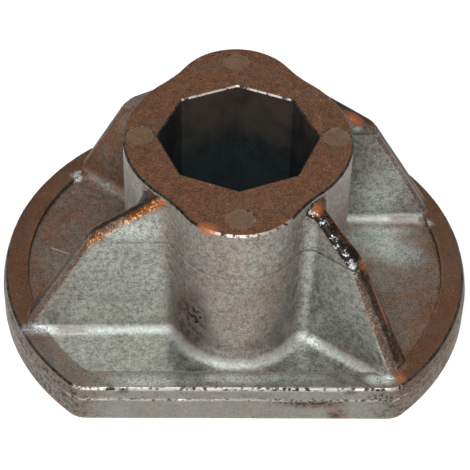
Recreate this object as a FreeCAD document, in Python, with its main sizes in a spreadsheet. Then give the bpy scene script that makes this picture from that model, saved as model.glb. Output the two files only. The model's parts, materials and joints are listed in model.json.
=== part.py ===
import FreeCAD, Part
import math
import os
import Sketcher

# Driving sizes in millimetres and degrees. The underside of the flange is z = 0 and the shaft runs along Z.
sizes = {
    "flange_diameter": 83.2,
    "flange_flat_width": 63.4,
    "flange_corner_radius": 4.0,
    "flange_height": 6.8,
    "parting_height": 4.6,
    "side_inset": 0.6,
    "rim_width": 3.9,
    "pocket_depth": 1.0,
    "hub_diameter": 39.0,
    "hub_height": 35.6,
    "bore_across_flats": 25.2,
    "bore_chamfer": 0.25,
    "rib_crest_thickness": 2.8,
    "rib_draft": 2.2,
    "rib_start_drop": 1.2,
    "rib_bend_radius": 7.0,
    "rib_end_setback": 2.7,
    "rib_sink": 1.0,
    "side_rib_angle": 181.0,
    "corner_rib_angle": -38.0,
    "root_radius": 2.2,
    "crest_radius": 1.0,
    "edge_break": 0.35,
    "mark_diameter": 5.0,
    "mark_depth": 0.2,
}
# Proportions of the hub's plan, as shares of the hub's diameter.
shares = {
    "lobe_radius_share": 0.272,
    "lobe_offset_share": 0.356,
    "neck_radius_share": 0.615,
    "side_rib_share": 0.354,
    "corner_rib_share": -0.11,
    "lobe_mark_share": 0.523,
    "bend_out_share": 0.407,
    "bend_down_share": 0.286,
}
touch = 1e-3
octagon_sides = 8

doc = FreeCAD.newDocument("blade_adapter")
sheet = doc.addObject("Spreadsheet::Sheet", "dims")
for row, (name, value) in enumerate({**sizes, **shares}.items(), start=1):
    sheet.set("A%d" % row, name)
    sheet.set("B%d" % row, str(value))
    sheet.setAlias("B%d" % row, name)
doc.recompute()

body = doc.addObject("PartDesign::Body", "adapter_casting")
body.Label = "adapter_casting"
origin = {feature.Role: feature for feature in body.Origin.OriginFeatures}
z_axis = FreeCAD.Vector(0, 0, 1)


def size(name):
    return float(sheet.get(name))


def v(x, y):
    return FreeCAD.Vector(x, y, 0)


def new_sketch(name, plane):
    sketch = body.newObject("Sketcher::SketchObject", name)
    sketch.AttachmentSupport = [(origin[plane], "")]
    sketch.MapMode = "FlatFace"
    return sketch


def limit(sketch, label, constraint, text):
    index = sketch.addConstraint(constraint)
    sketch.renameConstraint(index, label)
    sketch.setExpression("Constraints." + label, text)


def place(sketch, label, geometry, end, point, across, up):
    limit(sketch, label + "_across", Sketcher.Constraint("DistanceX", -1, 1, geometry, end, point.x), across)
    limit(sketch, label + "_up", Sketcher.Constraint("DistanceY", -1, 1, geometry, end, point.y), up)


def add_lines(sketch, points):
    count = len(points)
    first_id = sketch.GeometryCount
    for k in range(count):
        sketch.addGeometry(Part.LineSegment(points[k], points[(k + 1) % count]), False)
    for k in range(count):
        following = first_id + (k + 1) % count
        sketch.addConstraint(Sketcher.Constraint("Coincident", first_id + k, 2, following, 1))
    return first_id


def add_arc(sketch, x, y, radius, start, end):
    return sketch.addGeometry(Part.ArcOfCircle(Part.Circle(v(x, y), z_axis, radius), start, end), False)


def add_circle(sketch, radius, text):
    ring = sketch.addGeometry(Part.Circle(v(0, 0), z_axis, radius), False)
    sketch.addConstraint(Sketcher.Constraint("Coincident", ring, 3, -1, 1))
    limit(sketch, "radius", Sketcher.Constraint("Radius", ring, radius), text)


def finish(feature):
    doc.recompute()
    bad = [o.Name for o in doc.Objects if "Invalid" in o.State or "Error" in o.State]
    if bad:
        raise RuntimeError("not built: " + ", ".join(bad))
    return feature


def pad(name, sketch, length):
    feature = body.newObject("PartDesign::Pad", name)
    feature.Profile = sketch
    feature.setExpression("Length", length)
    return finish(feature)


def pocket_up(name, sketch):
    feature = body.newObject("PartDesign::Pocket", name)
    feature.Profile = sketch
    feature.Type = "ThroughAll"
    feature.Reversed = True
    before = feature.BaseFeature.Shape.Volume
    finish(feature)
    if feature.Shape.Volume > before - touch:
        raise RuntimeError(name + " cuts nothing")
    return feature


def middle_of(edge):
    return edge.valueAt((edge.FirstParameter + edge.LastParameter) / 2)


def reach_of(point):
    return math.hypot(point.x, point.y)


def is_at(edge, height):
    box = edge.BoundBox
    return box.ZLength < touch and abs(box.ZMin - height) < touch


def normals_at(shape, edge):
    point = middle_of(edge)
    normals = []
    for face in shape.ancestorsOfType(edge, Part.Face):
        normals.append(face.normalAt(*face.Surface.parameter(point)))
    return normals


# The angle between the faces at an edge, negative where the edge is an inside corner.
def turn_of(shape, edge):
    probe = 0.02
    normals = normals_at(shape, edge)
    if len(normals) != 2:
        return 0.0
    one, two = normals
    angle = math.degrees(one.getAngle(two))
    inside = shape.isInside(middle_of(edge) + (one - two) * probe, touch, False)
    return -angle if inside else angle


def edges_where(shape, test):
    return ["Edge%d" % (k + 1) for k, edge in enumerate(shape.Edges) if test(edge)]


def fillet(name, base, test, radius):
    feature = body.newObject("PartDesign::Fillet", name)
    feature.Base = (base, edges_where(base.Shape, test))
    feature.setExpression("Radius", radius)
    return finish(feature)


hub_diameter = size("hub_diameter")
hub_radius = hub_diameter / 2
hub_height = size("hub_height")
flange_radius = size("flange_diameter") / 2
flange_height = size("flange_height")
half_flat = size("flange_flat_width") / 2
beyond = size("flange_diameter")
beyond_text = "dims.flange_diameter"
flange_text = "dims.flange_diameter / 2"

# A plain core joins the four ribs while they are shaped. The socket takes it away again.
core_outline = new_sketch("core_outline", "XY_Plane")
add_circle(core_outline, size("bore_across_flats") / 2, "dims.bore_across_flats / 2")
core = pad("core", core_outline, "dims.hub_height")

# Each rib stands beside the shaft's axis, is thinner at the crest than at the foot, and starts in the floor.
rib_top = hub_height - size("rib_start_drop")
rib_base = flange_height - size("pocket_depth") - size("rib_sink")
rib_top_text = "(dims.hub_height - dims.rib_start_drop)"
rib_base_text = "(dims.flange_height - dims.pocket_depth - dims.rib_sink)"
foot_text = "dims.rib_crest_thickness + 2 * (%s - %s) * tan(dims.rib_draft)" % (rib_top_text, rib_base_text)


rib_offsets = {
    "side_rib": (hub_diameter * size("side_rib_share"), "(dims.hub_diameter * dims.side_rib_share)"),
    "corner_rib": (hub_diameter * size("corner_rib_share"), "(dims.hub_diameter * dims.corner_rib_share)"),
}
rim_reach = size("side_inset") + size("rim_width")
rim_reach_text = "(dims.side_inset + dims.rim_width)"
inner_flat = half_flat - rim_reach
inner_flat_text = "(dims.flange_flat_width / 2 - %s)" % rim_reach_text


def turn_sketch(sketch, angle, across, along):
    y_axis = FreeCAD.Vector(0, 1, 0)
    sketch.AttachmentOffset = FreeCAD.Placement(v(0, 0), FreeCAD.Rotation(y_axis, size(angle)))
    sketch.setExpression("AttachmentOffset.Base.x", across)
    sketch.setExpression("AttachmentOffset.Base.z", along)
    sketch.setExpression("AttachmentOffset.Rotation.Angle", "dims." + angle)


def rib_strip(name):
    angle = name + "_angle"
    offset_text = rib_offsets[name][1]
    sketch = new_sketch(name + "_section", "YZ_Plane")
    crest = size("rib_crest_thickness") / 2
    foot = crest + (rib_top - rib_base) * math.tan(math.radians(size("rib_draft")))
    add_lines(sketch, [v(-foot, rib_base), v(foot, rib_base), v(crest, rib_top), v(-crest, rib_top)])
    sketch.addConstraint(Sketcher.Constraint("Symmetric", 0, 1, 0, 2, -2))
    sketch.addConstraint(Sketcher.Constraint("Symmetric", 2, 1, 2, 2, -2))
    limit(sketch, "base", Sketcher.Constraint("DistanceY", -1, 1, 0, 1, rib_base), rib_base_text)
    limit(sketch, "top", Sketcher.Constraint("DistanceY", -1, 1, 2, 1, rib_top), rib_top_text)
    limit(sketch, "crest", Sketcher.Constraint("DistanceX", 2, 2, 2, 1, 2 * crest),
          "dims.rib_crest_thickness")
    limit(sketch, "foot", Sketcher.Constraint("DistanceX", 0, 1, 0, 2, 2 * foot), foot_text)
    across = "%s * cos(dims.%s)" % (offset_text, angle)
    along = "-%s * sin(dims.%s)" % (offset_text, angle)
    turn_sketch(sketch, angle, across, along)
    return pad(name, sketch, flange_text)


# The crest falls in two slopes: from the hub's wall to the bend, then from the bend to the rim.
# A corner rib ends at the flat's rim or at the round rim, whichever it meets first.
def rib_crest(name):
    angle = name + "_angle"
    offset, offset_text = rib_offsets[name]
    sketch = new_sketch(name + "_line", "XZ_Plane")

    def along_rib(radius):
        return math.sqrt(radius ** 2 - offset ** 2)

    def along_rib_text(radius):
        return "sqrt((%s)^2 - %s^2)" % (radius, offset_text)

    bend_out = hub_radius + (flange_radius - hub_radius) * size("bend_out_share")
    bend_drop = (rib_top - flange_height) * size("bend_down_share")
    start = v(along_rib(hub_radius), rib_top)
    bend = v(along_rib(bend_out), rib_top - bend_drop)
    end = v(along_rib(flange_radius - size("rib_end_setback")), flange_height)
    end_text = along_rib_text("dims.flange_diameter / 2 - dims.rib_end_setback")
    if name == "corner_rib":
        slant = math.radians(size(angle))
        end.x = min(end.x, (inner_flat + offset * math.cos(slant)) / math.sin(-slant))
        flat_text = "(%s + %s * cos(dims.%s)) / sin(-dims.%s)" % (inner_flat_text, offset_text, angle, angle)
        end_text = "min(%s; %s)" % (end_text, flat_text)
    over = rib_top + flange_height
    first = v(start.x - flange_height * (bend.x - start.x) / (start.y - bend.y), over)
    last = v(end.x + (end.y - rib_base) * (end.x - bend.x) / (bend.y - end.y), rib_base)
    start_text = along_rib_text("dims.hub_diameter / 2")
    bend_text = "dims.hub_diameter / 2 + (dims.flange_diameter - dims.hub_diameter) / 2 * dims.bend_out_share"
    bend_text = along_rib_text(bend_text)
    bend_drop_text = "((%s - dims.flange_height) * dims.bend_down_share)" % rib_top_text
    bend_up_text = "(%s - %s)" % (rib_top_text, bend_drop_text)
    over_text = "%s + dims.flange_height" % rib_top_text
    upper_run_text = "dims.flange_height * (%s - %s) / %s" % (bend_text, start_text, bend_drop_text)
    lower_run_text = "(dims.flange_height - %s) * (%s - %s)" % (rib_base_text, end_text, bend_text)
    lower_run_text += " / (%s - dims.flange_height)" % bend_up_text
    add_lines(sketch, [first, bend, last, v(beyond, last.y), v(beyond, over)])
    for k, kind in ((2, "Horizontal"), (3, "Vertical"), (4, "Horizontal")):
        sketch.addConstraint(Sketcher.Constraint(kind, k))
    place(sketch, "first", 0, 1, first, "%s - %s" % (start_text, upper_run_text), over_text)
    place(sketch, "bend", 1, 1, bend, bend_text, bend_up_text)
    place(sketch, "last", 2, 1, last, "%s + %s" % (end_text, lower_run_text), rib_base_text)
    limit(sketch, "far", Sketcher.Constraint("DistanceX", -1, 1, 3, 1, beyond), beyond_text)
    across = "-%s * sin(dims.%s)" % (offset_text, angle)
    along = "-%s * cos(dims.%s)" % (offset_text, angle)
    turn_sketch(sketch, angle, across, along)
    feature = body.newObject("PartDesign::Pocket", name + "_crest")
    feature.Profile = sketch
    feature.SideType = "Symmetric"
    feature.setExpression("Length", "2 * (%s)" % foot_text)
    return finish(feature)


rib_features = []
for rib_name in rib_offsets:
    rib_features.append(rib_strip(rib_name))
    rib_features.append(rib_crest(rib_name))
rib_pairs = body.newObject("PartDesign::PolarPattern", "rib_pairs")
rib_pairs.Originals = rib_features
rib_pairs.Axis = (origin["Z_Axis"], [""])
rib_pairs.Angle = 360
rib_pairs.Occurrences = 2
body.Tip = rib_pairs
finish(rib_pairs)

# A face whose normal rises more than this belongs to a crest, and one that rises less to a wall.
crest_rise = 0.3
wall_rise = math.sin(math.radians(size("rib_draft")))


def is_bend(edge):
    rises = [normal.z for normal in normals_at(rib_pairs.Shape, edge)]
    return len(rises) == 2 and min(rises) > crest_rise and abs(rises[0] - rises[1]) > touch


bends = fillet("bends", rib_pairs, is_bend, "dims.rib_bend_radius")


def is_crest_edge(edge):
    rises = sorted(normal.z for normal in normals_at(bends.Shape, edge))
    return len(rises) == 2 and abs(rises[0] - wall_rise) < touch and rises[1] > crest_rise


rounded_crest = fillet("rounded_crest", bends, is_crest_edge, "dims.crest_radius")

# The hub: a round barrel with a lobe at the front and at the back, too tall until the roots are rounded.
hub_outline = new_sketch("hub_outline", "XY_Plane")
lobe = hub_diameter * size("lobe_radius_share")
lobe_offset = hub_diameter * size("lobe_offset_share")
neck = hub_diameter * size("neck_radius_share")
lobe_text = "dims.hub_diameter * dims.lobe_radius_share"
offset_text = "dims.hub_diameter * dims.lobe_offset_share"
neck_text = "dims.hub_diameter * dims.neck_radius_share"
neck_y = ((hub_radius + neck) ** 2 - (lobe + neck) ** 2 + lobe_offset ** 2) / (2 * lobe_offset)
neck_x = math.sqrt((hub_radius + neck) ** 2 - neck_y ** 2)
from_centre = math.atan2(neck_y, neck_x)
from_lobe = math.atan2(neck_y - lobe_offset, neck_x)
pi = math.pi
right = add_arc(hub_outline, 0, 0, hub_radius, -from_centre, from_centre)
neck_one = add_arc(hub_outline, neck_x, neck_y, neck, pi + from_lobe, pi + from_centre)
back = add_arc(hub_outline, 0, lobe_offset, lobe, from_lobe, pi - from_lobe)
neck_two = add_arc(hub_outline, -neck_x, neck_y, neck, -from_centre, -from_lobe)
left = add_arc(hub_outline, 0, 0, hub_radius, pi - from_centre, pi + from_centre)
neck_three = add_arc(hub_outline, -neck_x, -neck_y, neck, from_lobe, from_centre)
front = add_arc(hub_outline, 0, -lobe_offset, lobe, pi + from_lobe, 2 * pi - from_lobe)
neck_four = add_arc(hub_outline, neck_x, -neck_y, neck, pi - from_centre, pi - from_lobe)
for one, two in ((right, neck_one), (back, neck_two), (left, neck_three), (front, neck_four)):
    hub_outline.addConstraint(Sketcher.Constraint("Tangent", one, 2, two, 2))
for one, two in ((neck_one, back), (neck_two, left), (neck_three, front), (neck_four, right)):
    hub_outline.addConstraint(Sketcher.Constraint("Tangent", one, 1, two, 1))
for side in (right, left):
    hub_outline.addConstraint(Sketcher.Constraint("Coincident", side, 3, -1, 1))
    limit(hub_outline, "side_%d" % side, Sketcher.Constraint("Radius", side, hub_radius),
          "dims.hub_diameter / 2")
for end, ends in ((back, (-1, 1, back, 3)), (front, (front, 3, -1, 1))):
    hub_outline.addConstraint(Sketcher.Constraint("PointOnObject", end, 3, -2))
    limit(hub_outline, "offset_%d" % end, Sketcher.Constraint("DistanceY", *ends, lobe_offset), offset_text)
    limit(hub_outline, "lobe_%d" % end, Sketcher.Constraint("Radius", end, lobe), lobe_text)
for hollow in (neck_one, neck_two, neck_three, neck_four):
    limit(hub_outline, "neck_%d" % hollow, Sketcher.Constraint("Radius", hollow, neck), neck_text)
hub = pad("hub", hub_outline, "dims.hub_height + 2 * dims.root_radius")

floor_outline = new_sketch("floor_outline", "XY_Plane")
add_circle(floor_outline, flange_radius, flange_text)
floor = pad("floor", floor_outline, "dims.flange_height - dims.pocket_depth")
corner_turn = 10
roots = fillet("roots", floor, lambda edge: turn_of(floor.Shape, edge) < -corner_turn, "dims.root_radius")

top_outline = new_sketch("top_outline", "XY_Plane")
add_circle(top_outline, flange_radius, flange_text)
top_outline.setExpression("AttachmentOffset.Base.z", "dims.hub_height")
level_top = pocket_up("level_top", top_outline)

# The raised rim follows the flange's outline round the sunk floor.
rim_outline = new_sketch("rim_outline", "XY_Plane")
add_circle(rim_outline, flange_radius, flange_text)
inner_radius = flange_radius - rim_reach
half_angle = math.asin(inner_flat / inner_radius)
flat_end = inner_radius * math.cos(half_angle)
right_arc = add_arc(rim_outline, 0, 0, inner_radius, -half_angle, half_angle)
back_line = Part.LineSegment(v(flat_end, inner_flat), v(-flat_end, inner_flat))
back_flat = rim_outline.addGeometry(back_line, False)
left_arc = add_arc(rim_outline, 0, 0, inner_radius, pi - half_angle, pi + half_angle)
front_line = Part.LineSegment(v(-flat_end, -inner_flat), v(flat_end, -inner_flat))
front_flat = rim_outline.addGeometry(front_line, False)
ring = (right_arc, back_flat, left_arc, front_flat)
for k, line in enumerate(ring):
    rim_outline.addConstraint(Sketcher.Constraint("Coincident", line, 2, ring[(k + 1) % len(ring)], 1))
for side in (right_arc, left_arc):
    rim_outline.addConstraint(Sketcher.Constraint("Coincident", side, 3, -1, 1))
    limit(rim_outline, "side_%d" % side, Sketcher.Constraint("Radius", side, inner_radius),
          "dims.flange_diameter / 2 - " + rim_reach_text)
for side, ends in ((back_flat, (-1, 1, back_flat, 1)), (front_flat, (front_flat, 1, -1, 1))):
    rim_outline.addConstraint(Sketcher.Constraint("Horizontal", side))
    limit(rim_outline, "flat_%d" % side, Sketcher.Constraint("DistanceY", *ends, inner_flat), inner_flat_text)
rim = pad("rim", rim_outline, "dims.flange_height")

# The two flats of the flange, and its four rounded corners.
flats_outline = new_sketch("flats_outline", "XY_Plane")
for sign in (1, -1):
    near = sign * half_flat
    away = sign * beyond
    line = add_lines(flats_outline, [v(-beyond, near), v(beyond, near), v(beyond, away), v(-beyond, away)])
    for k, kind in ((1, "Vertical"), (2, "Horizontal"), (3, "Vertical")):
        flats_outline.addConstraint(Sketcher.Constraint(kind, line + k))
    flats_outline.addConstraint(Sketcher.Constraint("Symmetric", line, 1, line, 2, -2))
    limit(flats_outline, "wide_%d" % line, Sketcher.Constraint("DistanceX", line, 1, line, 2, 2 * beyond),
          "2 * " + beyond_text)
    for label, part, distance, text in (("near", line, half_flat, "dims.flange_flat_width / 2"),
                                        ("away", line + 2, beyond, beyond_text)):
        ends = (-1, 1, part, 1) if sign > 0 else (part, 1, -1, 1)
        limit(flats_outline, "%s_%d" % (label, line), Sketcher.Constraint("DistanceY", *ends, distance), text)
flats = pocket_up("flats", flats_outline)


def is_flange_corner(edge):
    box = edge.BoundBox
    upright = box.XLength + box.YLength < touch and box.ZMin < touch
    return upright and reach_of(middle_of(edge)) > flange_radius - touch


corners = fillet("corners", flats, is_flange_corner, "dims.flange_corner_radius")
sharp_turn = 30


def is_outer_rim(shape, edge):
    point = middle_of(edge)
    in_round = reach_of(point) > inner_radius + size("rim_width") / 2
    in_flat = abs(point.y) > inner_flat + size("rim_width") / 2
    return is_at(edge, flange_height) and (in_round or in_flat) and turn_of(shape, edge) > sharp_turn


# Above the parting line the side of the flange leans in.
lean = body.newObject("PartDesign::Chamfer", "lean")
lean.Base = (corners, edges_where(corners.Shape, lambda edge: is_outer_rim(corners.Shape, edge)))
lean.ChamferType = "Two distances"
lean.setExpression("Size", "dims.flange_height - dims.parting_height")
lean.setExpression("Size2", "dims.side_inset")
finish(lean)


def is_soft_edge(edge):
    hub_top = is_at(edge, hub_height) and turn_of(lean.Shape, edge) > sharp_turn
    return hub_top or is_outer_rim(lean.Shape, edge)


soft_edges = body.newObject("PartDesign::Chamfer", "soft_edges")
soft_edges.Base = (lean, edges_where(lean.Shape, is_soft_edge))
soft_edges.setExpression("Size", "dims.edge_break")
finish(soft_edges)

# The socket for the shaft: a regular octagon with corners on X and Y, right through.
socket_outline = new_sketch("socket_outline", "XY_Plane")
half_side_angle = pi / octagon_sides
corner_radius = size("bore_across_flats") / 2 / math.cos(half_side_angle)
corner_angles = [2 * half_side_angle * k for k in range(octagon_sides)]
corner_points = [v(corner_radius * math.cos(a), corner_radius * math.sin(a)) for a in corner_angles]
sides = add_lines(socket_outline, corner_points)
guide = socket_outline.addGeometry(Part.Circle(v(0, 0), z_axis, corner_radius), True)
socket_outline.addConstraint(Sketcher.Constraint("Coincident", guide, 3, -1, 1))
for k in range(octagon_sides):
    socket_outline.addConstraint(Sketcher.Constraint("PointOnObject", sides + k, 1, guide))
for k in range(1, octagon_sides):
    socket_outline.addConstraint(Sketcher.Constraint("Equal", sides, sides + k))
socket_outline.addConstraint(Sketcher.Constraint("PointOnObject", sides, 1, -1))
corner_radius_text = "dims.bore_across_flats / 2 / cos(180 / %d)" % octagon_sides
limit(socket_outline, "corner_radius", Sketcher.Constraint("Radius", guide, corner_radius),
      corner_radius_text)
socket = pocket_up("socket", socket_outline)


def is_socket_mouth(edge):
    at_end = is_at(edge, 0) or is_at(edge, hub_height)
    return at_end and reach_of(middle_of(edge)) < corner_radius


mouth = body.newObject("PartDesign::Chamfer", "mouth")
mouth.Base = (socket, edges_where(socket.Shape, is_socket_mouth))
mouth.setExpression("Size", "dims.bore_chamfer")
finish(mouth)

# Shallow round marks of the ejector pins on the hub's end face.
marks_outline = new_sketch("marks_outline", "XY_Plane")
mark_radius = size("mark_diameter") / 2
side_reach = (corner_radius + hub_radius) / 2
side_reach_text = "(%s + dims.hub_diameter / 2) / 2" % corner_radius_text
lobe_reach = hub_diameter * size("lobe_mark_share")
lobe_reach_text = "dims.hub_diameter * dims.lobe_mark_share"
for reach, reach_text, along, axis in ((side_reach, side_reach_text, "DistanceX", -1),
                                       (lobe_reach, lobe_reach_text, "DistanceY", -2)):
    for sign in (1, -1):
        place_of_mark = v(sign * reach, 0) if along == "DistanceX" else v(0, sign * reach)
        mark = marks_outline.addGeometry(Part.Circle(place_of_mark, z_axis, mark_radius), False)
        ends = (-1, 1, mark, 3) if sign > 0 else (mark, 3, -1, 1)
        marks_outline.addConstraint(Sketcher.Constraint("PointOnObject", mark, 3, axis))
        limit(marks_outline, "reach_%d" % mark, Sketcher.Constraint(along, *ends, reach), reach_text)
        limit(marks_outline, "round_%d" % mark, Sketcher.Constraint("Radius", mark, mark_radius),
              "dims.mark_diameter / 2")
marks_outline.setExpression("AttachmentOffset.Base.z", "dims.hub_height")
marks = body.newObject("PartDesign::Pocket", "marks")
marks.Profile = marks_outline
marks.setExpression("Length", "dims.mark_depth")
finish(marks)

casting = body.Shape
if casting.isNull() or not casting.isValid() or len(casting.Solids) != 1:
    raise RuntimeError("the casting is not one valid solid")
os.makedirs("parts", exist_ok=True)
casting.exportStep("parts/%s.step" % body.Label)
print(body.Label, round(casting.Volume / 1000, 2), "cm3")
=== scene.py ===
import bpy
import bmesh
import json
import math
from mathutils import Matrix, Vector, noise

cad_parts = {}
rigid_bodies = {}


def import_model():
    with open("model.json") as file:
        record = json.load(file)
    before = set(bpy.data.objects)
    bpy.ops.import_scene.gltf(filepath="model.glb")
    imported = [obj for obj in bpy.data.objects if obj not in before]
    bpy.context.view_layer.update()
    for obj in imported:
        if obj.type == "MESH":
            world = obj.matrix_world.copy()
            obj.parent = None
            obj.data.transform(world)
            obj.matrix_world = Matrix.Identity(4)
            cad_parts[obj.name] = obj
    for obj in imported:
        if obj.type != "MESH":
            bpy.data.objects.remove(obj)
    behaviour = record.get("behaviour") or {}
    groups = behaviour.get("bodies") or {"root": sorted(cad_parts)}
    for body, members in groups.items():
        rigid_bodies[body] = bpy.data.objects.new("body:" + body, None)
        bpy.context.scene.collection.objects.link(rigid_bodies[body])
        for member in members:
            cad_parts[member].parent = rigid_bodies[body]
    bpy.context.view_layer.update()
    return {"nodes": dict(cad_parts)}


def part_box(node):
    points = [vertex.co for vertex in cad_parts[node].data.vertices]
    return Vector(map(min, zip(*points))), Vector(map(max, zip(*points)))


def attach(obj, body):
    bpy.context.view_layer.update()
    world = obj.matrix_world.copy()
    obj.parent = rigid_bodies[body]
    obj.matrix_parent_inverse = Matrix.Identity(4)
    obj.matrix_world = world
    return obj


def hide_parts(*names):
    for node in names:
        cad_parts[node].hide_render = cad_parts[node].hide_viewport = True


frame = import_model()
mm = 0.001
print("frame loaded")


def ease(low, high, value):
    part = min(max((value - low) / (high - low), 0.0), 1.0)
    return part * part * (3 - 2 * part)


def linear(hexColour):
    # sRGB hex to the linear numbers that the shader wants
    parts = [int(hexColour[k:k + 2], 16) / 255 for k in (1, 3, 5)]
    return [c / 12.92 if c <= 0.04045 else ((c + 0.055) / 1.055) ** 2.4 for c in parts] + [1.0]


def useAlone(obj):
    bpy.ops.object.select_all(action="DESELECT")
    obj.select_set(True)
    bpy.context.view_layer.objects.active = obj


# Where the casting's forms begin and end, mm.
castingPlan = {
    "underside": 0.05,           # all below it is the blade's seat
    "pocketTop": 6.4,            # the pockets' floors lie below it
    "rimTop": 6.8,
    "lowDown": 10,               # flange, rim and pockets lie below it
    "hubEnd": 35.0,              # only the hub's end and its edge lie above it
    "socketReach": 14.1,
    "hubReach": 26,
    "hubRadius": 19.5,
    "lobeRadius": 10.6,
    "lobeOffset": 13.9,
    "markRadius": 2.5,
    "markCentres": ((16.6, 0), (-16.6, 0), (0, 20.4), (0, -20.4)),
    # the reach from the axis, and the Y of the flats, past which a point is on that form
    "flangeSide": (40.3, 30.9),
    "flangeEdge": (40.0, 30.4),
    "rim": (36.9, 27.0),
    "rimFoot": (36.5, 26.8),
}


def reachOf(p):
    return math.hypot(p.x, p.y)


def isPast(p, form):
    reach, flat = castingPlan[form]
    return reachOf(p) > reach or abs(p.y) > flat


# Skin of the casting: the CAD shape, cut fine enough to carry the unevenness of the metal.
castingSkin = {
    "node": "adapter_casting",
    "cutStep": (0.9, 0.9, 1.0),       # mm between cuts along X, Y and Z
    "fineEnough": 1.0,                # mm, faces with a smaller span stay whole
    "wallFacet": 3.0,                 # mm, the widest facet of the hub's round walls
    "partingHeight": 4.6,             # mm, where the two halves of the die met
    "partingBand": (-0.55, -0.3, -0.1, 0.12, 0.34, 0.6),
    "insertHeight": 25.7,             # mm, the line left by the die's insert round the hub
    "insertBand": (-0.36, -0.12, 0.12, 0.36),
    "wallSmoothing": 8,               # rounds that take the facets out of the hub's walls
    "unevenness": 0.06,               # mm, always inwards, so the skin stays in the CAD box
    "unevennessSize": 4.0,
    "pitDepth": 0.22,
    "pitSize": 1.5,
    "pitCentre": (-7.0, -21.7, 13.0),  # mm, a rough cold patch low on the hub's front
    "pitReach": (3.6, 3.6, 7.0),
    "seamDepth": 0.30,
    "seamSize": 2.0,
    "insertDepth": 0.10,
    "smoothAngle": 40,
}


def inSocket(p, n):
    inward = p.x * n.x + p.y * n.y < 0
    return inward and reachOf(p) < castingPlan["socketReach"] and abs(n.z) < 0.6


def isMating(p, n):
    return p.z < castingPlan["underside"] or inSocket(p, n)


def isHubWall(p, n):
    return abs(n.z) < 0.05 and reachOf(p) < castingPlan["hubReach"] and not inSocket(p, n)


cadNode = frame["nodes"][castingSkin["node"]]
skin = bpy.data.objects.new("castingSkin", cadNode.data.copy())
bpy.context.scene.collection.objects.link(skin)
useAlone(skin)
bpy.ops.mesh.customdata_custom_splitnormals_clear()
bpy.ops.object.mode_set(mode="EDIT")
bpy.ops.mesh.select_mode(type="FACE")
bpy.ops.mesh.select_all(action="SELECT")
bpy.ops.mesh.remove_doubles(threshold=0.002 * mm)


def selectFaces(test):
    bpy.ops.mesh.select_all(action="DESELECT")
    work = bmesh.from_edit_mesh(skin.data)
    for face in work.faces:
        if not face.hide:
            corners = [loop.vert.co / mm for loop in face.loops]
            span = [max(c[k] for c in corners) - min(c[k] for c in corners) for k in range(3)]
            face.select_set(test(face.calc_center_median() / mm, face.normal, span))
    bmesh.update_edit_mesh(skin.data)


def hideFaces(test):
    # hidden faces aren't cut, and share the cuts along their borders
    selectFaces(test)
    bpy.ops.mesh.hide(unselected=False)


def cutAcross(axis, heights):
    direction = [0.0, 0.0, 0.0]
    direction[axis] = 1.0
    for height in heights:
        point = [0.0, 0.0, 0.0]
        point[axis] = height
        bpy.ops.mesh.select_all(action="SELECT")
        bpy.ops.mesh.bisect(plane_co=point, plane_no=direction, threshold=0.01 * mm)


def evenCuts(axis):
    low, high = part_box(castingSkin["node"])
    count = int((high[axis] - low[axis]) / (castingSkin["cutStep"][axis] * mm))
    return [low[axis] + (high[axis] - low[axis]) * (k + 0.5) / count for k in range(count)]


bandCuts = []
for height, band in (("partingHeight", "partingBand"), ("insertHeight", "insertBand")):
    bandCuts += [(castingSkin[height] + offset) * mm for offset in castingSkin[band]]
bpy.ops.mesh.tris_convert_to_quads(face_threshold=math.radians(3), shape_threshold=math.pi)
hideFaces(lambda p, n, span: p.z < castingPlan["underside"])
cutAcross(2, bandCuts)
hideFaces(lambda p, n, span: span[2] < castingSkin["fineEnough"])
cutAcross(2, evenCuts(2))
bpy.ops.mesh.reveal(select=False)
hideFaces(lambda p, n, span: p.z < castingPlan["underside"])
selectFaces(lambda p, n, span: isHubWall(p, n) and max(span) < castingSkin["wallFacet"])
bpy.ops.mesh.subdivide(number_cuts=1)
bpy.ops.mesh.select_mode(type="VERT")
bpy.ops.mesh.select_less()
bpy.ops.mesh.vertices_smooth(factor=0.5, repeat=castingSkin["wallSmoothing"])
bpy.ops.mesh.select_mode(type="FACE")
hideFaces(lambda p, n, span: max(span[:2]) < castingSkin["fineEnough"] or inSocket(p, n))
cutAcross(0, evenCuts(0))
cutAcross(1, evenCuts(1))
bpy.ops.mesh.reveal(select=False)
bpy.ops.mesh.select_all(action="SELECT")
bpy.ops.mesh.remove_doubles(threshold=0.03 * mm)
bpy.ops.mesh.quads_convert_to_tris()
# merging can leave a small hole, and loose fins, which are then the only faces with an open edge
bpy.ops.mesh.fill_holes(sides=4)
bpy.ops.mesh.select_mode(type="EDGE")
bpy.ops.mesh.select_all(action="DESELECT")
bpy.ops.mesh.select_non_manifold(use_wire=False, use_multi_face=False,
                                 use_non_contiguous=False, use_verts=False)
bpy.ops.mesh.select_mode(type="FACE", use_expand=True)
bpy.ops.mesh.delete(type="FACE")
bpy.ops.object.mode_set(mode="OBJECT")
print("skin cut:", len(skin.data.polygons), "faces")


def seamAt(p):
    # the parting line wanders a little round the flange
    if not isPast(p, "flangeSide"):
        return 0.0
    wander = 0.22 * noise.noise(Vector((p.x / 5, p.y / 5, 0.3)))
    return 1 - ease(0.05, 0.40, abs(p.z - castingSkin["partingHeight"] - wander))


def insertAt(p, n):
    if reachOf(p) > 30 or abs(n.z) > 0.75:
        return 0.0
    return 1 - ease(0.02, 0.25, abs(p.z - castingSkin["insertHeight"]))


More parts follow.
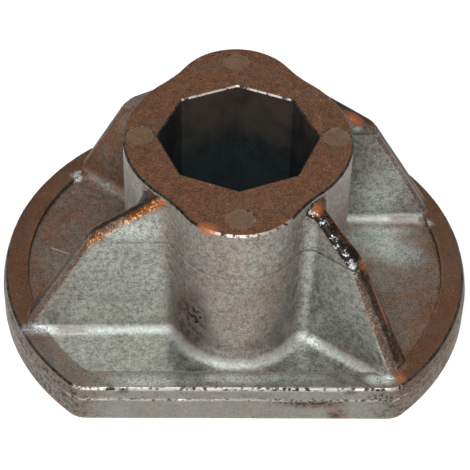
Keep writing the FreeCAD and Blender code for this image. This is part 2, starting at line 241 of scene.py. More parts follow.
weights = {"uneven": {}, "pitted": {}, "seam": {}, "insert": {}}
for vertex in skin.data.vertices:
    p = vertex.co / mm
    n = vertex.normal
    if isMating(p, n):
        continue
    onTop = n.z > 0.6 and (p.z > castingPlan["hubEnd"] or isPast(p, "rimFoot"))
    weights["uneven"][vertex.index] = 0.0 if onTop else 1.0
    away = zip(p, castingSkin["pitCentre"], castingSkin["pitReach"])
    inPits = ease(1, 0.3, math.sqrt(sum(((a - b) / r) ** 2 for a, b, r in away)))
    weights["pitted"][vertex.index] = inPits if abs(n.z) < 0.3 else 0.0
    weights["seam"][vertex.index] = seamAt(p)
    weights["insert"][vertex.index] = insertAt(p, n)
for name, members in weights.items():
    group = skin.vertex_groups.new(name=name)
    for index, weight in members.items():
        if weight > 0.01:
            group.add([index], weight, "REPLACE")


def dent(name, group, kind, size, depth, settings):
    # pushes the skin inwards by a procedural texture, and applies it
    texture = bpy.data.textures.new(name, kind)
    texture.noise_scale = size * mm
    for key, value in settings.items():
        setattr(texture, key, value)
    modifier = skin.modifiers.new(name, "DISPLACE")
    modifier.texture = texture
    modifier.texture_coords = "LOCAL"
    modifier.vertex_group = group
    modifier.mid_level = 1.0
    modifier.strength = depth * mm
    bpy.ops.object.modifier_apply(modifier=name)


useAlone(skin)
dent("castUnevenness", "uneven", "CLOUDS", castingSkin["unevennessSize"], castingSkin["unevenness"],
     {"noise_depth": 1})
dent("castPits", "pitted", "VORONOI", castingSkin["pitSize"], castingSkin["pitDepth"],
     {"intensity": 0.9, "contrast": 1.6})
dent("partingSeam", "seam", "CLOUDS", castingSkin["seamSize"], castingSkin["seamDepth"],
     {"noise_depth": 2, "contrast": 1.8})
dent("insertLine", "insert", "CLOUDS", castingSkin["seamSize"], castingSkin["insertDepth"],
     {"intensity": 0.4})
low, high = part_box(castingSkin["node"])
for vertex in skin.data.vertices:
    vertex.co = [min(max(c, a), b) for c, a, b in zip(vertex.co, low, high)]
bpy.ops.object.shade_smooth_by_angle(angle=math.radians(castingSkin["smoothAngle"]))
print("skin dented")

# Ribs: direction in degrees, offset beside the axis, and the crest line as (along the rib, height), in mm.
frontLeft = {"angle": 181, "offset": 13.8, "line": ((13.8, 34.4), (24.9, 26.5), (36.4, 6.8))}
frontRight = {"angle": -38, "offset": -4.3, "line": ((19.0, 34.4), (28.2, 26.5), (38.7, 6.8))}
# each is there again after a half turn
ribs = [{**rib, "angle": rib["angle"] + turn} for rib in (frontLeft, frontRight) for turn in (0, 180)]
crestHalf = 1.4      # mm, half a crest's width


def ribPlace(p, rib):
    # mm along the rib and aside from its middle
    turn = math.radians(rib["angle"])
    along = p.x * math.cos(turn) + p.y * math.sin(turn)
    return along, p.y * math.cos(turn) - p.x * math.sin(turn) - rib["offset"]


def crestAt(p):
    # mm below a crest, and the place across it from -1 at its back to 1 at its front; None off the ribs
    for rib in ribs:
        along, aside = ribPlace(p, rib)
        if abs(aside) > 2.6 or along < 12 or not 7.4 < p.z < 34.9 or reachOf(p) < 18.5:
            continue
        start, bend, end = rib["line"]
        one, two = (start, bend) if along < bend[0] else (bend, end)
        crest = one[1] + (two[1] - one[1]) * (along - one[0]) / (two[0] - one[0])
        return crest - p.z, aside / crestHalf * (-1 if p.x > 0 else 1)
    return None


# Spots of film, of paler metal and painted highlight, of dirt and painted shade, and of coppery painted
# glints.
patches = {
    # name of the attribute: (centre in mm, radii in mm, strength)
    "film": [
        ((-26.0, -24.0, 5.8), (8, 4, 2), -0.06),   # clean corner of the front pocket
        ((31.5, 1.5, 5.8), (5, 5, 5), -0.25),   # clean floor of the right pocket
        ((25.0, 6.0, 5.8), (7, 7, 7), -0.45),   # and more so near the hub
        ((-8.0, -20.5, 13.0), (5, 5, 9), 0.14),   # round the pits
        ((13.0, -31.7, 3.6), (8, 2, 1.2), 0.40),   # stain below the parting line
        ((17.0, -31.7, 1.0), (2.5, 2, 2.5), 0.35),   # stain at the flange's foot
        ((19.5, -24.0, 7.2), (8, 6, 1.5), 0.22),   # foot of the front right rib
        ((27.0, 11.8, 16.0), (10, 2.5, 11), -0.18),   # clean face of the back right rib
        ((28.0, -27.0, 7.6), (3, 3, 1.8), 0.5),   # the four ribs' ends
        ((-28.0, 27.0, 7.6), (3, 3, 1.8), 0.5),
        ((36.2, 14.4, 7.6), (3, 3, 1.8), 0.5),
        ((-36.2, -14.4, 7.6), (3, 3, 1.8), 0.3),
    ],
    # paler metal in the right pocket, on the front rim and the back right rib's face, and painted
    # highlights in the feet's fillets, at the ribs' ends and on the back right crest's top
    "paleAndHighlight": [
        ((13.2, -19.8, 6.3), (1.8, 1.8, 1.5), 0.9),   # corner of hub and rib
        ((29.0, 8.6, 6.4), (8, 1.8, 1.2), 0.5),   # foot of the back right rib
        ((36.0, 9.8, 6.6), (1, 1, 1), 1.0),   # and its end
        ((-29.5, 22.4, 6.4), (1.2, 1.2, 1.5), 2.0),   # end of the back left rib's foot
        ((-33.8, -17.6, 6.6), (4.5, 1.8, 1.4), 0.9),   # end of the front left rib's foot
        ((24.0, -29.0, 6.8), (3.4, 1.3, 1.2), 1.3),   # end of the front right rib's foot
        ((18.6, -21.6, 26.2), (0.8, 0.8, 0.8), 0.9),   # end of the insert's line
        ((-18.5, -15.7, 28.6), (7, 2, 3.0), 0.45),   # under the front left crest
        ((30.0, 3.0, 5.8), (6, 5, 3), 0.35),   # floor of the right pocket
        ((27.0, 11.8, 15.0), (7, 2.5, 9), 0.3),   # face of the back right rib
        ((21.6, 12.4, 26.9), (1.2, 1.2, 0.9), 1.0),   # its bright top
        ((0.0, -24.0, 8.2), (12, 4, 1.5), 0.3),   # foot of the hub
        ((2.0, -28.8, 6.8), (16, 1.6, 1), 0.75),   # front rim
        ((-14.0, -29.6, 6.8), (9, 1.6, 1), 0.55),
    ],
    # dirt flecks, with painted shade at the end of the right pocket's step and a painted dark patch under
    # the back right crest
    "sootAndShade": [
        ((-8.5, -20.0, 11.5), (7.0, 7.0, 8.0), 0.9),   # flecks in and above the pits
        ((-6.9, -21.8, 16.5), (3.4, 3.6, 6), 0.6),
        ((7.6, -21.6, 11.5), (3, 3, 6), 0.6),   # fewer to the right
        ((-20.0, -16.4, 13.0), (7, 2, 1.1), 0.35),   # smudge on the front left rib
        ((35.0, 8.8, 6.2), (1, 1, 1), 0.8),   # end of the right pocket's step
        ((22.0, 12.5, 26.5), (2, 2, 2), 0.5),   # under the back right crest
        ((12.0, -31.7, 4.0), (9, 2, 0.9), 0.7),   # flecks on the flange's front
        ((17.0, -31.7, 1.2), (2.2, 2, 1.6), 0.6),
        ((24.0, -31.5, 5.0), (3, 2, 1.2), 0.6),
    ],
    # coppery painted glints on the hub's end edge and along the right ribs' crests, and a coppery spot at
    # the front right rib's end
    "copperGlint": [
        ((-5.6, -22.8, 35.4), (2.8, 2, 0.8), 0.9),   # edge of the hub's end
        ((27.3, -28.5, 6.8), (1.5, 1.5, 1.2), 1.0),   # end of the front right rib
        ((12.8, -15.8, 33.6), (1.6, 1.6, 1.4), 0.8),   # its start at the hub
        ((20.2, -20.4, 25.6), (1.3, 1.3, 1.5), 0.8),   # its bend
        ((21.2, 13.3, 29.0), (3.4, 1.4, 2.4), 1.0),   # crest of the back right rib
    ],
}

# How much film and dirt each form carries, from 0 to 1, and what is added or taken off in places.
filmShare = {
    "allOver": 0.18,
    "socket": 0.85,
    "pocket": 0.60,
    "pocketEdge": 0.10,     # added towards the rim
    "side": 0.36,
    "sideEnds": 0.24,       # added away from the flats' middle
    "rightEnd": 0.12,       # added on the right
    "hub": 0.26,
    "hubFoot": 0.12,
    "underCrest": 0.28,
    "backLeftRib": 0.55,
    "hubEnd": 0.95,
    "rim": 0.91,
    "frontRim": -0.7,       # taken off where the rim's front is rubbed
    "frontLeftRim": -0.4,
}
# pocketLine and rimStep are painted shade along an edge and in a step; rim and side are dirt
dirtAndShadeShare = {"pocketLine": 0.7, "rim": 0.40, "side": 0.40, "sideEnds": 0.5, "rimStep": 0.8}


def offHub(p):
    # mm outside the hub's round and its two lobes
    lobe = math.hypot(p.x, abs(p.y) - castingPlan["lobeOffset"]) - castingPlan["lobeRadius"]
    return min(reachOf(p) - castingPlan["hubRadius"], lobe)


def towardsBackLeft(p):
    return ease(-8, 12, p.y) * ease(16, 2, p.x)


def filmAt(p, n):
    f = filmShare
    if inSocket(p, n):
        return f["socket"]
    if n.z > 0.85 and p.z < castingPlan["pocketTop"]:
        # the pocket between the two front ribs is clean
        toFront = ease(-10, -19, p.y) * ease(1, -1, ribPlace(p, frontRight)[1])
        inPocket = f["pocket"] + f["pocketEdge"] * ease(27, 36, reachOf(p))
        return inPocket * (1 - toFront) + f["allOver"] * toFront
    if p.z < castingPlan["rimTop"] and reachOf(p) > 31:
        return f["side"] + f["sideEnds"] * ease(20, 30, abs(p.x)) + f["rightEnd"] * ease(20, 30, p.x)
    onHub = f["hub"] * ease(1.6, 0.3, offHub(p))
    atFoot = f["hubFoot"] * ease(6.6, 7.6, p.z) * ease(10.0, 8.2, p.z) if p.y < 0 else 0.0
    crest = crestAt(p)
    underCrest = 0.0 if crest is None else f["underCrest"] * ease(3.6, 1.0, crest[0])
    onRibs = f["backLeftRib"] * towardsBackLeft(p) * ease(0.3, 2.0, offHub(p))
    return f["allOver"] + onHub + atFoot + underCrest + onRibs


def acrossAt(p, n):
    # the place across a crest, from 0 at its back to 1 at its front
    crest = crestAt(p)
    return 0.5 if crest is None else 0.5 + 0.5 * crest[1]


def hollowAt(p, n):
    # the fillets at the feet are smooth, and lightened with a painted highlight where the key light's
    # reflection falls, less towards the back left
    if 5.7 < p.z < 8.4 and reachOf(p) < 37 and 0.2 < n.z < 0.98:
        return ease(0.2, 0.5, n.z) * ease(0.99, 0.85, n.z) * (1 - 0.85 * towardsBackLeft(p))
    return 0.0


def partingAt(p, n):
    # painted glints and painted shade along the parting line: clear along the front, faint round the sides
    return seamAt(p) * (0.35 + 0.65 * ease(-29, -31, p.y)) if abs(n.z) < 0.6 else 0.0


def sootAndShadeAt(p, n):
    # dirt on the flange's sides, darker towards their ends; painted shade along the front pocket's edge;
    # thin dirt on the rim
    if p.z > castingPlan["pocketTop"] and n.z > 0.5 and -27.45 < p.y < -27.1:
        return dirtAndShadeShare["pocketLine"]
    if n.z > 0.9 and p.z < castingPlan["lowDown"]:
        return dirtAndShadeShare["rim"] * crustAt(p, n)
    if not isPast(p, "flangeSide") or abs(n.z) > 0.3:
        return 0.0
    return dirtAndShadeShare["side"] + dirtAndShadeShare["sideEnds"] * ease(20, 30, abs(p.x))


def lineAt(p, n):
    # painted shade in the step inside the rim, and the line that the die's insert left, clearest towards
    # the right
    if 36.0 < reachOf(p) < 37.2 and 5.7 < p.z < 6.7 and n.z < 0.9:
        return dirtAndShadeShare["rimStep"]
    return insertAt(p, n) * (0.35 + 0.65 * ease(6, 12, p.x)) * ease(1, 6, abs(p.x))


def noneAt(p, n):
    return 0.0


def crustAt(p, n):
    # film on the faces that the weather reached: the hub's end and the rim
    onHubEnd = p.z > castingPlan["hubEnd"]
    onRim = p.z > castingPlan["pocketTop"] and isPast(p, "rim")
    if n.z < 0.9 or not (onHubEnd or onRim):
        return 0.0
    if onHubEnd:
        return filmShare["hubEnd"]
    front = filmShare["frontRim"] * ease(-26.5, -28.0, p.y) * ease(31, 24, abs(p.x))
    frontLeftEnd = filmShare["frontLeftRim"] * ease(-14, -24, p.y) * ease(-20, -28, p.x)
    return filmShare["rim"] + min(front, frontLeftEnd)


def edgeAt(p, n):
    atRim = 6.3 < p.z < 6.9 and isPast(p, "flangeEdge")
    if not 0.35 < n.z < 0.93 or not (p.z > castingPlan["hubEnd"] or atRim):
        return 0.0
    # 1 where the edge gets a painted highlight, facing the key light: the front of the hub and flange, and
    # the back of the socket's mouth; 0.5 elsewhere, where the edge gets painted shade
    onFront = p.y < -30 or (p.y < -20 and -5 < p.x < 10)
    atMouth = n.y < -0.3 and 4 < p.y < 14
    return 1.0 if onFront or atMouth else 0.5


def crestMask(p, n):
    crest = crestAt(p)
    return 1.0 if 0.08 < n.z < 0.97 and crest is not None and crest[0] < 1.25 else 0.0


def markAt(p, n):
    # the ejector pins' round marks on the hub's end
    if p.z < castingPlan["hubEnd"] or n.z < 0.9:
        return 0.0
    away = min(math.hypot(p.x - x, p.y - y) for x, y in castingPlan["markCentres"])
    return 1.0 if away < castingPlan["markRadius"] else 0.0


def socketMask(p, n):
    return 1.0 if inSocket(p, n) else 0.0


# masks kept at the points blend into their surroundings, those kept on the faces have sharp borders
softMasks = {"film": filmAt, "across": acrossAt, "hollow": hollowAt, "parting": partingAt,
             "paleAndHighlight": noneAt, "copperGlint": noneAt, "sootAndShade": sootAndShadeAt, "line": lineAt}
sharpMasks = {"crust": crustAt, "edge": edgeAt, "crest": crestMask, "mark": markAt, "socket": socketMask}


def patched(name, p, value):
    for centre, radii, strength in patches.get(name, []):
        away = math.sqrt(sum(((a - b) / r) ** 2 for a, b, r in zip(p, centre, radii)))
        if away < 1:
            value += strength * ease(1, 0.25, away)
    return min(max(value, 0.0), 1.0)


for name, maker in softMasks.items():
    values = [patched(name, v.co / mm, maker(v.co / mm, v.normal)) for v in skin.data.vertices]
    skin.data.attributes.new(name, "FLOAT", "POINT").data.foreach_set("value", values)
for name, maker in sharpMasks.items():
    values = [maker(face.center / mm, face.normal) for face in skin.data.polygons]
    skin.data.attributes.new(name, "FLOAT", "FACE").data.foreach_set("value", values)
print("finish masks written")


def addNode(tree, kind, settings, out=0):
    # a setting is an input's value, a link from another node's output, or one of the node's own options
    node = tree.nodes.new(kind)
    for key, value in settings.items():
        if isinstance(value, bpy.types.NodeSocket):
            tree.links.new(value, node.inputs[key])
        elif isinstance(key, int) or key in node.inputs:
            node.inputs[key].default_value = value
        else:
            setattr(node, key, value)
    return node.outputs[out] if node.outputs else node


# Die-cast aluminium, as cast and then stained in use: a soft grey metal with a fine mould grain, and a
# thin brown oxide film on the faces that stood up to the weather. Painted light is laid over it:
# reflection bands and coppery and white glints on the rib crests, highlights in the fillets and on edges,
# shade in the socket.
stainedCast = {
    "metalDark": "#676963",
    "metalLight": "#aaada7",
    "filmDark": "#3f2819",
    "filmLight": "#764f35",
    # crest colours: a dark grainy middle, and painted reflection bands, orange at the back, grey and mauve
    # at the front
    "crestDark": "#191009",
    "crestBrown": "#573a27",
    "crestOrange": "#7d492a",
    "crestGrey": "#84766b",
    "crestMauve": "#523f35",
    # painted glints on the crests, coppery and white, and the colour of the coppery glint spots
    "copperDark": "#855029",
    "copperGlint": "#e0a870",
    "copperGlintSpot": "#a5643a",
    "glint": "#bcc2c5",
    # painted glint specks
    "glintSpecks": "#b3a596",
    # painted highlight in the feet's fillets
    "bright": "#b9c0c0",
    # paler metal, and painted highlights
    "paleAndHighlight": "#d4dddb",
    "sootAndShade": "#17130f",
    "mark": "#75634d",
    # painted shade and painted highlight along the edges
    "edgeShadeDark": "#150f0a",
    "edgeHighlight": "#98928a",
    # painted glints on the parting line, and the floor scratch
    "partLight": "#b9b4ac",
    # painted shade inside the socket, and the lighter brown of painted light up its wall
    "socketShadeDark": "#090e10",
    "socketShadeDeep": "#162628",
    "socketLitBrown": "#3d342d",
    # patterns: size in mm, detail and roughness
    "cloud": (7.0, 3.0, 0.55),       # clouds of stain
    "mottle": (1.8, 4.0, 0.6),       # mottling of the cast skin
    "grain": (0.36, 3.0, 0.65),      # mould grain, drawn coarser than life so that it shows
    "chip": (0.9, 3.0, 0.6),         # chips along the edges
    "speckSize": 1.1,                # mm, dark specks
    "glintFrom": (23.5, 26.5),      # mm, the height over which the crests take on their painted glints and painted dark reflection
    "brownFrom": (18, 34),           # mm, the height over which the socket's painted shade gives way to a lighter brown, painted light up its wall
    "metalRoughness": 0.46,
    "filmRoughness": 0.55,
    "roughnessSpread": 0.24,
    "grainDepth": 0.1,               # mm
}
# A thin scratch across the floor of the left pocket, mm.
floorScratch = {
    "start": Vector((-33.8, 3.9, 0)),
    "end": Vector((-29.2, 1.7, 0)),
    "half": 0.12,        # half its width
    "top": 6.3,          # no higher than the floor
}


def makeStainedCast():
    s = stainedCast
    tint = {name: linear(value) for name, value in s.items() if isinstance(value, str)}
    material = bpy.data.materials.new("stainedDieCastAluminium")
    material.use_nodes = True
    tree = material.node_tree
    tree.nodes.clear()
    maths, fade, mix = "ShaderNodeMath", "ShaderNodeMapRange", "ShaderNodeMix"
    soft = {"interpolation_type": "SMOOTHSTEP"}
    paint = {"data_type": "RGBA"}
    times = {"operation": "MULTIPLY"}
    timesAndAdd = {"operation": "MULTIPLY_ADD"}
    where = addNode(tree, "ShaderNodeTexCoord", {}, "Object")
    aside, inwards, height = [addNode(tree, "ShaderNodeSeparateXYZ", {0: where}, k) for k in range(3)]
    pattern = {}
    for name in ("cloud", "mottle", "grain", "chip"):
        size, detail, rough = s[name]
        pattern[name] = addNode(tree, "ShaderNodeTexNoise",
                                {"Vector": where, "Scale": 1 / (size * mm),
                                 "Detail": detail, "Roughness": rough})
    mask = {}
    for name in list(softMasks) + list(sharpMasks):
        mask[name] = addNode(tree, "ShaderNodeAttribute", {"attribute_name": name}, "Fac")
    cloud, mottle, grain, chip = pattern.values()
    texture = addNode(tree, mix, {0: 0.75, 2: mottle, 3: grain})

    # film edges break up in clouds and mottle
    breakUp = addNode(tree, mix, {0: 0.4, 2: cloud, 3: mottle})
    breakUp = addNode(tree, maths, {**timesAndAdd, 0: breakUp, 1: 1.0, 2: -0.5})
    filmed = addNode(tree, maths, {"operation": "MAXIMUM", 0: mask["film"], 1: mask["crust"]})
    filmed = addNode(tree, maths, {0: filmed, 1: breakUp})
    film = addNode(tree, fade, {**soft, 0: filmed, 1: 0.05, 2: 0.95})
    metalShade = addNode(tree, mix, {0: 0.35, 2: texture, 3: chip})
    metalShade = addNode(tree, fade, {**soft, 0: metalShade, 1: 0.34, 2: 0.66})
    metalColour = addNode(tree, mix,
                          {**paint, 0: metalShade, 6: tint["metalDark"], 7: tint["metalLight"]}, 2)
    filmShade = addNode(tree, mix, {0: 0.15, 2: texture, 3: chip})
    filmShade = addNode(tree, fade, {**soft, 0: filmShade, 1: 0.35, 2: 0.65})
    filmColour = addNode(tree, mix,
                         {**paint, 0: filmShade, 6: tint["filmDark"], 7: tint["filmLight"]}, 2)
    colour = addNode(tree, mix, {**paint, 0: film, 6: metalColour, 7: filmColour}, 2)

    # rib crests: a dark grainy middle, with painted reflection bands across it, an orange line at the back
    # edge and a paler front edge
    crestShade = addNode(tree, fade, {**soft, 0: texture, 1: 0.45, 2: 0.66})
    crestColour = addNode(tree, mix,
                          {**paint, 0: crestShade, 6: tint["crestDark"], 7: tint["crestBrown"]}, 2)
    lineStart = addNode(tree, fade, {**soft, 0: mask["across"], 1: 0.02, 2: 0.12})
    lineEnd = addNode(tree, fade, {**soft, 0: mask["across"], 1: 0.28, 2: 0.16})
    lineRuns = addNode(tree, fade, {**soft, 0: cloud, 1: 0.42, 2: 0.62})
    orangeReflection = addNode(tree, maths, {**times, 0: lineStart, 1: lineEnd})
    orangeReflection = addNode(tree, maths, {**times, 0: orangeReflection, 1: lineRuns})
    frontReflection = addNode(tree, maths, {**timesAndAdd, 0: mottle, 1: 0.3, 2: mask["across"]})
    frontReflection = addNode(tree, fade, {**soft, 0: frontReflection, 1: 0.75, 2: 0.95})
    frontReflectionColour = addNode(tree, mix,
                         {**paint, 0: crestShade, 6: tint["crestMauve"], 7: tint["crestGrey"]}, 2)
    copperGrain = addNode(tree, fade, {**soft, 0: texture, 1: 0.28, 2: 0.46})
    glintGrain = addNode(tree, mix, {0: 0.5, 2: chip, 3: grain})
    glintGrain = addNode(tree, fade, {**soft, 0: glintGrain, 1: 0.53, 2: 0.59})
    # high on the front ribs' crests: a painted dark reflection, with painted glints over its front,
    # coppery on the left and white on the right
    highUp = addNode(tree, fade,
                     {**soft, 0: height, 1: s["glintFrom"][0] * mm, 2: s["glintFrom"][1] * mm})
    inFront = addNode(tree, fade, {**soft, 0: mask["across"], 1: 0.5, 2: 0.8})
    rightSide = addNode(tree, fade, {**soft, 0: aside, 1: -4 * mm, 2: 4 * mm})
    frontRibs = addNode(tree, fade, {**soft, 0: inwards, 1: 5 * mm, 2: -5 * mm})
    paintedReflectionPlace = addNode(tree, maths, {**times, 0: highUp, 1: inFront})
    paintedReflectionPlace = addNode(tree, maths, {**times, 0: paintedReflectionPlace, 1: frontRibs})
    paintedGlint = addNode(tree, mix, {0: rightSide, 2: copperGrain, 3: glintGrain})
    paintedGlint = addNode(tree, maths, {**times, 0: paintedGlint, 1: paintedReflectionPlace})
    copperShade = addNode(tree, mix, {**paint, 0: glintGrain, 6: tint["copperDark"], 7: tint["copperGlint"]}, 2)
    paintedGlintColour = addNode(tree, mix, {**paint, 0: rightSide, 6: copperShade, 7: tint["glint"]}, 2)
    for amount, shade in ((orangeReflection, tint["crestOrange"]), (frontReflection, frontReflectionColour),
                          (paintedReflectionPlace, tint["crestDark"]), (paintedGlint, paintedGlintColour)):
        crestColour = addNode(tree, mix, {**paint, 0: amount, 6: crestColour, 7: shade}, 2)

    # edges with painted highlights and painted shade broken up by chips, specks and dirt, and the socket's
    # painted shade
    chips = addNode(tree, mix, {0: 0.25, 2: chip, 3: cloud})
    chips = addNode(tree, fade, {**soft, 0: chips, 1: 0.42, 2: 0.52})
    edgeThere = addNode(tree, fade, {0: mask["edge"], 2: 0.5})
    paintedEdgeHighlight = addNode(tree, fade, {0: mask["edge"], 1: 0.45, 2: 1.0})
    paintedEdgeHighlight = addNode(tree, maths, {**times, 0: paintedEdgeHighlight, 1: chips})
    edgeColour = addNode(tree, mix, {**paint, 0: paintedEdgeHighlight, 6: tint["edgeShadeDark"], 7: tint["edgeHighlight"]}, 2)
    partingGlintAndShade = addNode(tree, mix, {**paint, 0: chips, 6: tint["edgeShadeDark"], 7: tint["partLight"]}, 2)
    paleGrain = addNode(tree, fade, {**soft, 0: texture, 1: 0.33, 2: 0.6})
    sootGrain = addNode(tree, mix, {0: 0.45, 2: chip, 3: grain})
    sootGrain = addNode(tree, fade, {**soft, 0: sootGrain, 1: 0.47, 2: 0.56})
    speck = addNode(tree, "ShaderNodeTexVoronoi", {"Vector": where, "Scale": 1 / (s["speckSize"] * mm)})
    # light specks all over: painted glints
    glintSpecks = addNode(tree, fade, {**soft, 0: speck, 1: 0.12, 2: 0.05})
    glintSpeckClouds = addNode(tree, fade, {**soft, 0: mottle, 1: 0.52, 2: 0.58})
    speck = addNode(tree, fade, {**soft, 0: speck, 1: 0.16, 2: 0.05, 4: 0.6})
    speckClouds = addNode(tree, fade, {**soft, 0: cloud, 1: 0.5, 2: 0.62})
    # inside the socket: painted shade, darkest low down, lighter brown up the wall where light reaches in
    socketShade = addNode(tree, mix, {0: 0.6, 2: cloud, 3: grain})
    socketShade = addNode(tree, fade, {**soft, 0: socketShade, 1: 0.3, 2: 0.7})
    upTheWall = addNode(tree, fade,
                        {**soft, 0: height, 1: s["brownFrom"][0] * mm, 2: s["brownFrom"][1] * mm})
    wallClouds = addNode(tree, fade, {**soft, 0: cloud, 1: 0.3, 2: 0.65, 3: 0.2})
    upTheWall = addNode(tree, maths, {**times, 0: upTheWall, 1: wallClouds})
    socketPaintedShade = addNode(tree, mix,
                           {**paint, 0: socketShade, 6: tint["socketShadeDark"], 7: tint["socketShadeDeep"]}, 2)
    socketPaintedShade = addNode(tree, mix, {**paint, 0: upTheWall, 6: socketPaintedShade, 7: tint["socketLitBrown"]}, 2)

    # the scratch: near its middle both along and across, and only on the floor
    run = floorScratch["end"] - floorScratch["start"]
    middle = (floorScratch["start"] + floorScratch["end"]) / 2
    along = run.normalized()
    across = along.cross(Vector((0, 0, 1)))
    scratch = addNode(tree, fade,
                      {0: height, 1: (floorScratch["top"] + 0.1) * mm, 2: floorScratch["top"] * mm})
    for axis, half in ((along, run.length / 2), (across, floorScratch["half"])):
        off = addNode(tree, "ShaderNodeVectorMath",
                      {"operation": "DOT_PRODUCT", 0: where, 1: axis}, "Value")
        off = addNode(tree, maths, {"operation": "SUBTRACT", 0: off, 1: middle.dot(axis) * mm})
        off = addNode(tree, maths, {"operation": "ABSOLUTE", 0: off})
        near = addNode(tree, fade, {**soft, 0: off, 1: half * mm, 2: half * 0.5 * mm})
        scratch = addNode(tree, maths, {**times, 0: scratch, 1: near})

    # all layers over the filmed metal, from the bottom up
    layers = [
        # amount, how far it goes, colour
        # painted light among these layers: the crests' reflection bands and glints, the fillets'
        # highlight, the glint specks, the edges' and parting line's highlights and shade, the coppery
        # glints, the pale spots' highlights, the shade in the rim's step and corners, and the socket's
        # shade
        (mask["mark"], 0.4, tint["mark"]),
        (mask["crest"], 1.0, crestColour),
        (mask["hollow"], 0.25, tint["bright"]),
        (glintSpecks, glintSpeckClouds, tint["glintSpecks"]),
        (edgeThere, 0.95, edgeColour),
        (mask["parting"], 0.75, partingGlintAndShade),
        (mask["copperGlint"], copperGrain, tint["copperGlintSpot"]),
        (mask["line"], 0.7, tint["sootAndShade"]),
        (mask["paleAndHighlight"], paleGrain, tint["paleAndHighlight"]),
        (mask["sootAndShade"], sootGrain, tint["sootAndShade"]),
        (speck, speckClouds, tint["sootAndShade"]),
        (scratch, 0.7, tint["partLight"]),
        (mask["socket"], 1.0, socketPaintedShade),
    ]
    for amount, share, shade in layers:
        covered = addNode(tree, maths, {**times, 0: amount, 1: share})
        colour = addNode(tree, mix, {**paint, 0: covered, 6: colour, 7: shade}, 2)

    # duller in the hollows, shinier where the crests' glints are painted, and the mould grain deepest on
    # the crests
    spread = s["roughnessSpread"]
    lowest = [s[name] - spread / 2 for name in ("metalRoughness", "filmRoughness")]
    roughness = addNode(tree, mix, {0: film, 2: lowest[0], 3: lowest[1]})
    roughness = addNode(tree, maths, {**timesAndAdd, 0: mottle, 1: spread, 2: roughness})
    roughness = addNode(tree, maths, {**timesAndAdd, 0: mask["hollow"], 1: 0.22, 2: roughness})
    shine = addNode(tree, maths, {**times, 0: paintedGlint, 1: mask["crest"]})
    roughness = addNode(tree, maths, {**timesAndAdd, 0: shine, 1: -0.16, 2: roughness})
    relief = addNode(tree, mix, {0: 0.45, 2: mottle, 3: grain})
    crestRelief = addNode(tree, maths, {**timesAndAdd, 0: mask["crest"], 1: 1.5, 2: 1.0})
    hollowRelief = addNode(tree, maths, {**timesAndAdd, 0: mask["hollow"], 1: -0.6, 2: 1.0})
    relief = addNode(tree, maths, {**times, 0: relief, 1: crestRelief})
    relief = addNode(tree, maths, {**times, 0: relief, 1: hollowRelief})
    bump = addNode(tree, "ShaderNodeBump",
                   {"Strength": 0.4, "Distance": s["grainDepth"] * mm, "Height": relief})
    metalness = addNode(tree, maths, {**timesAndAdd, 0: film, 1: -0.5, 2: 1.0})
    shader = addNode(tree, "ShaderNodeBsdfPrincipled",
                     {"Base Color": colour, "Roughness": roughness, "Metallic": metalness, "Normal": bump})
    addNode(tree, "ShaderNodeOutputMaterial", {"Surface": shader})
    return material


skin.data.materials.clear()
skin.data.materials.append(makeStainedCast())
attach(skin, "root")
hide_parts(castingSkin["node"])
print("casting finished")

# Pale studio floor: wide and flat, with a little glow that keeps it bright close to the casting.
studioFloor = {
    "size": 3.0,             # m
    "drop": 0.05,            # mm below the casting
    "colour": "#d6d6d3",
    "roughness": 0.9,
    "glow": 0.42,
}
bpy.ops.object.select_all(action="DESELECT")
bpy.ops.mesh.primitive_plane_add(size=studioFloor["size"], location=(0, 0, -studioFloor["drop"] * mm))
floor = bpy.context.active_object
floor.name = "studioFloor"
bpy.ops.object.transform_apply(location=True, rotation=True, scale=True)
floorMaterial = bpy.data.materials.new("paintedStudioFloor")
floorMaterial.use_nodes = True
floorTree = floorMaterial.node_tree
floorTree.nodes.clear()
floorShader = addNode(floorTree, "ShaderNodeBsdfPrincipled",
                      {"Base Color": linear(studioFloor["colour"]),
                       "Roughness": studioFloor["roughness"],
                       "Emission Color": linear(studioFloor["colour"]),
                       "Emission Strength": studioFloor["glow"]})
addNode(floorTree, "ShaderNodeOutputMaterial", {"Surface": floorShader})
floor.data.materials.append(floorMaterial)

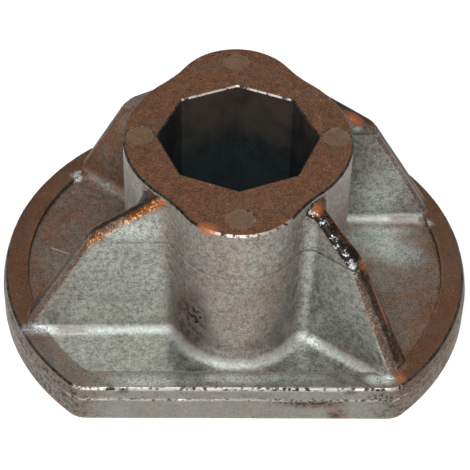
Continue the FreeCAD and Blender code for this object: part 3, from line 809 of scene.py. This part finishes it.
studioLight = {
    # name: azimuth from the front, elevation, distance m, size m, watts
    "key": (-6, 50, 0.7, 0.30, 7.5),
    "fill": (55, 50, 1.2, 0.7, 1.0),
    "left": (-70, 45, 1.2, 0.7, 0.8),
    "back": (170, 40, 1.2, 0.7, 0.6),
}
for name, (azimuth, elevation, distance, size, watts) in studioLight.items():
    az, el = math.radians(azimuth), math.radians(elevation)
    direction = Vector((math.sin(az) * math.cos(el), -math.cos(az) * math.cos(el), math.sin(el)))
    data = bpy.data.lights.new(name, "AREA")
    data.energy = watts
    data.size = size
    light = bpy.data.objects.new(name, data)
    light.location = direction * distance
    light.rotation_euler = direction.to_track_quat("Z", "Y").to_euler()
    bpy.context.scene.collection.objects.link(light)

studioWorld = {"colour": "#e6e7e8", "strength": 0.36}
world = bpy.data.worlds.new("studioWorld")
world.use_nodes = True
world.node_tree.nodes.clear()
sky = addNode(world.node_tree, "ShaderNodeBackground",
              {"Color": linear(studioWorld["colour"]), "Strength": studioWorld["strength"]})
addNode(world.node_tree, "ShaderNodeOutputWorld", {"Surface": sky})
bpy.context.scene.world = world
bpy.context.scene.view_settings.view_transform = "Standard"
print("studio lit")

# Camera at the photograph's view, from the casting's own circles and flats.
photoView = {
    "lens": 130.36,             # mm
    "sensor": 36.0,             # mm
    "azimuth": -1.83,           # degrees
    "elevation": 43.49,         # degrees
    "roll": 1.6,                # degrees
    "distance": 299.8,          # mm
    "aside": (-0.18, -2.67),    # mm to the right and up
    "target": 16.4,             # mm, the height that it looks towards
}
az = math.radians(photoView["azimuth"])
el = math.radians(photoView["elevation"])
roll = math.radians(photoView["roll"])
back = Vector((math.sin(az) * math.cos(el), -math.cos(az) * math.cos(el), math.sin(el)))
right = Vector((math.cos(az), math.sin(az), 0))
up = back.cross(right)
tiltedRight = right * math.cos(roll) + up * math.sin(roll)
tiltedUp = up * math.cos(roll) - right * math.sin(roll)
place = Vector((0, 0, photoView["target"])) + back * photoView["distance"]
place += tiltedRight * photoView["aside"][0] + tiltedUp * photoView["aside"][1]
cameraData = bpy.data.cameras.new("photoCamera")
cameraData.lens = photoView["lens"]
cameraData.sensor_width = photoView["sensor"]
cameraData.clip_start = 0.01
camera = bpy.data.objects.new("photoCamera", cameraData)
turned = Matrix((tiltedRight, tiltedUp, back)).transposed().to_4x4()
camera.matrix_world = Matrix.Translation(place * mm) @ turned
bpy.context.scene.collection.objects.link(camera)
bpy.context.scene.camera = camera
print("camera placed")
